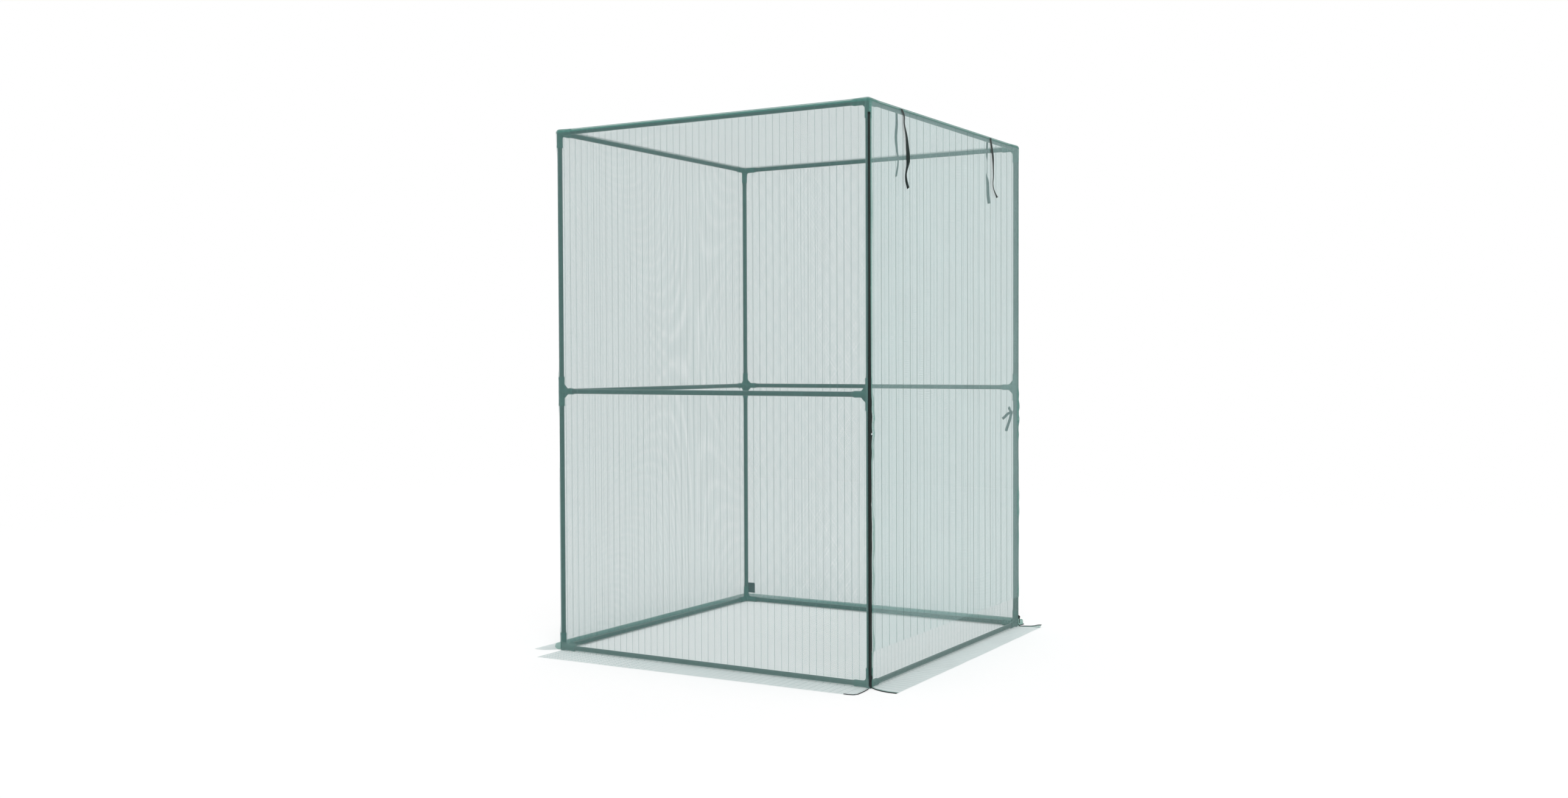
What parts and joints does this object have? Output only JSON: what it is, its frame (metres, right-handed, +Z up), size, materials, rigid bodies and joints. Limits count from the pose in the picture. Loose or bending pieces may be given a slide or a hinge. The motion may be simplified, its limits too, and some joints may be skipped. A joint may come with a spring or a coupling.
{
  "type": "crop cage",
  "caption": "Tall square crop cage: push-fit tube frame under a fine net cover, with a zipped door that gathers upwards, ribbon ties and skirts lying on the ground.",
  "frame": {"origin": "on the ground under the middle of the cage", "axes": "+Z up, -Y out through the door, +X to the right of someone who faces the rear wall from the door"},
  "size_m": [1.4726, 1.3786, 1.7771],
  "materials": {
    "tube": "dark green plastic-coated steel, satin",
    "connector": "moulded teal-green plastic, satin",
    "net": "fine knitted net, pale blue-green, see-through",
    "zip": "black woven tape with a coil zip",
    "slider": "black painted zip slider",
    "tie": "dark green woven ribbon",
    "tag": "plain dark grey woven tag"
  },
  "bodies": {
    "cage": {"bottom_rail_front": "tube", "bottom_rail_rear": "tube", "bottom_rail_left": "tube", "bottom_rail_right": "tube", "mid_rail_rear": "tube", "mid_rail_left": "tube", "mid_rail_right": "tube", "top_rail_front": "tube", "top_rail_rear": "tube", "top_rail_left": "tube", "top_rail_right": "tube", "post_lower_front_left": "tube", "post_lower_front_right": "tube", "post_lower_rear_left": "tube", "post_lower_rear_right": "tube", "post_upper_front_left": "tube", "post_upper_front_right": "tube", "post_upper_rear_left": "tube", "post_upper_rear_right": "tube", "bottom_connector_front_left": "connector", "bottom_connector_front_right": "connector", "bottom_connector_rear_left": "connector", "bottom_connector_rear_right": "connector", "mid_connector_front_left": "connector", "mid_connector_front_right": "connector", "mid_connector_rear_left": "connector", "mid_connector_rear_right": "connector", "top_connector_front_left": "connector", "top_connector_front_right": "connector", "top_connector_rear_left": "connector", "top_connector_rear_right": "connector", "roof_net": "net", "wall_net_left": "net", "wall_net_right": "net", "wall_net_rear": "net", "zip_left": "zip", "zip_right": "zip", "door_tie_inner_left": "tie", "door_tie_inner_right": "tie", "cover_tie": "tie", "blank_tag": "tag"},
    "door_1": {"door_panel_1": "net", "door_tie_outer_left": "tie", "door_tie_outer_right": "tie"},
    "door_2": {"door_panel_2": "net"},
    "door_3": {"door_panel_3": "net"},
    "door_4": {"door_panel_4": "net"},
    "door_5": {"door_panel_5": "net"},
    "door_6": {"door_panel_6": "net"},
    "door_7": {"door_panel_7": "net"},
    "door_8": {"door_panel_8": "net"},
    "door_skirt": {"door_skirt": "net"},
    "skirt_left": {"skirt_left": "net"},
    "skirt_right": {"skirt_right": "net"},
    "skirt_rear": {"skirt_rear": "net"},
    "slider_left": {"zip_slider_left": "slider"},
    "pull_left": {"zip_pull_left": "slider"},
    "slider_right": {"zip_slider_right": "slider"},
    "pull_right": {"zip_pull_right": "slider"}
  },
  "joints": [
    {"name": "door_fold_1", "type": "hinge", "parent": "cage", "child": "door_1", "pos_m": [0, -0.601, 1.7628], "axis": [-1, 0, 0], "range_deg": [0, 84]},
    {"name": "door_fold_2", "type": "hinge", "parent": "door_1", "child": "door_2", "pos_m": [0, -0.5998, 1.54258], "axis": [-1, 0, 0], "range_deg": [-168, 0]},
    {"name": "door_fold_3", "type": "hinge", "parent": "door_2", "child": "door_3", "pos_m": [0, -0.601, 1.32235], "axis": [-1, 0, 0], "range_deg": [0, 168]},
    {"name": "door_fold_4", "type": "hinge", "parent": "door_3", "child": "door_4", "pos_m": [0, -0.5998, 1.10213], "axis": [-1, 0, 0], "range_deg": [-168, 0]},
    {"name": "door_fold_5", "type": "hinge", "parent": "door_4", "child": "door_5", "pos_m": [0, -0.601, 0.8819], "axis": [-1, 0, 0], "range_deg": [0, 168]},
    {"name": "door_fold_6", "type": "hinge", "parent": "door_5", "child": "door_6", "pos_m": [0, -0.5998, 0.66168], "axis": [-1, 0, 0], "range_deg": [-168, 0]},
    {"name": "door_fold_7", "type": "hinge", "parent": "door_6", "child": "door_7", "pos_m": [0, -0.601, 0.44145], "axis": [-1, 0, 0], "range_deg": [0, 168]},
    {"name": "door_fold_8", "type": "hinge", "parent": "door_7", "child": "door_8", "pos_m": [0, -0.5998, 0.22123], "axis": [-1, 0, 0], "range_deg": [-168, 0]},
    {"name": "door_skirt_fold", "type": "hinge", "parent": "door_8", "child": "door_skirt", "pos_m": [0, -0.6013, 0.0012], "axis": [-1, 0, 0], "range_deg": [0, 88]},
    {"name": "skirt_left_fold", "type": "hinge", "parent": "cage", "child": "skirt_left", "pos_m": [-0.6013, 0, 0.0012], "axis": [0, 1, 0], "range_deg": [0, 88]},
    {"name": "skirt_right_fold", "type": "hinge", "parent": "cage", "child": "skirt_right", "pos_m": [0.6013, 0, 0.0012], "axis": [0, -1, 0], "range_deg": [0, 88]},
    {"name": "skirt_rear_fold", "type": "hinge", "parent": "cage", "child": "skirt_rear", "pos_m": [0, 0.6013, 0.0012], "axis": [1, 0, 0], "range_deg": [0, 88]},
    {"name": "zip_slide_left", "type": "slide", "parent": "cage", "child": "slider_left", "axis": [0, 0, 1], "range_m": [0, 1.68]},
    {"name": "zip_slide_right", "type": "slide", "parent": "cage", "child": "slider_right", "axis": [0, 0, 1], "range_m": [0, 1.68]},
    {"name": "zip_pull_swing_left", "type": "hinge", "parent": "slider_left", "child": "pull_left", "pos_m": [-0.60081, -0.60081, 0.034], "axis": [-0.7071, 0.7071, 0], "range_deg": [0, 170]},
    {"name": "zip_pull_swing_right", "type": "hinge", "parent": "slider_right", "child": "pull_right", "pos_m": [0.60081, -0.60081, 0.034], "axis": [-0.7071, -0.7071, 0], "range_deg": [0, 170]}
  ],
  "couplings": [
    {"joint": "door_fold_2", "follows": "door_fold_1", "ratio": -2},
    {"joint": "door_fold_3", "follows": "door_fold_1", "ratio": 2},
    {"joint": "door_fold_4", "follows": "door_fold_1", "ratio": -2},
    {"joint": "door_fold_5", "follows": "door_fold_1", "ratio": 2},
    {"joint": "door_fold_6", "follows": "door_fold_1", "ratio": -2},
    {"joint": "door_fold_7", "follows": "door_fold_1", "ratio": 2},
    {"joint": "door_fold_8", "follows": "door_fold_1", "ratio": -2}
  ]
}
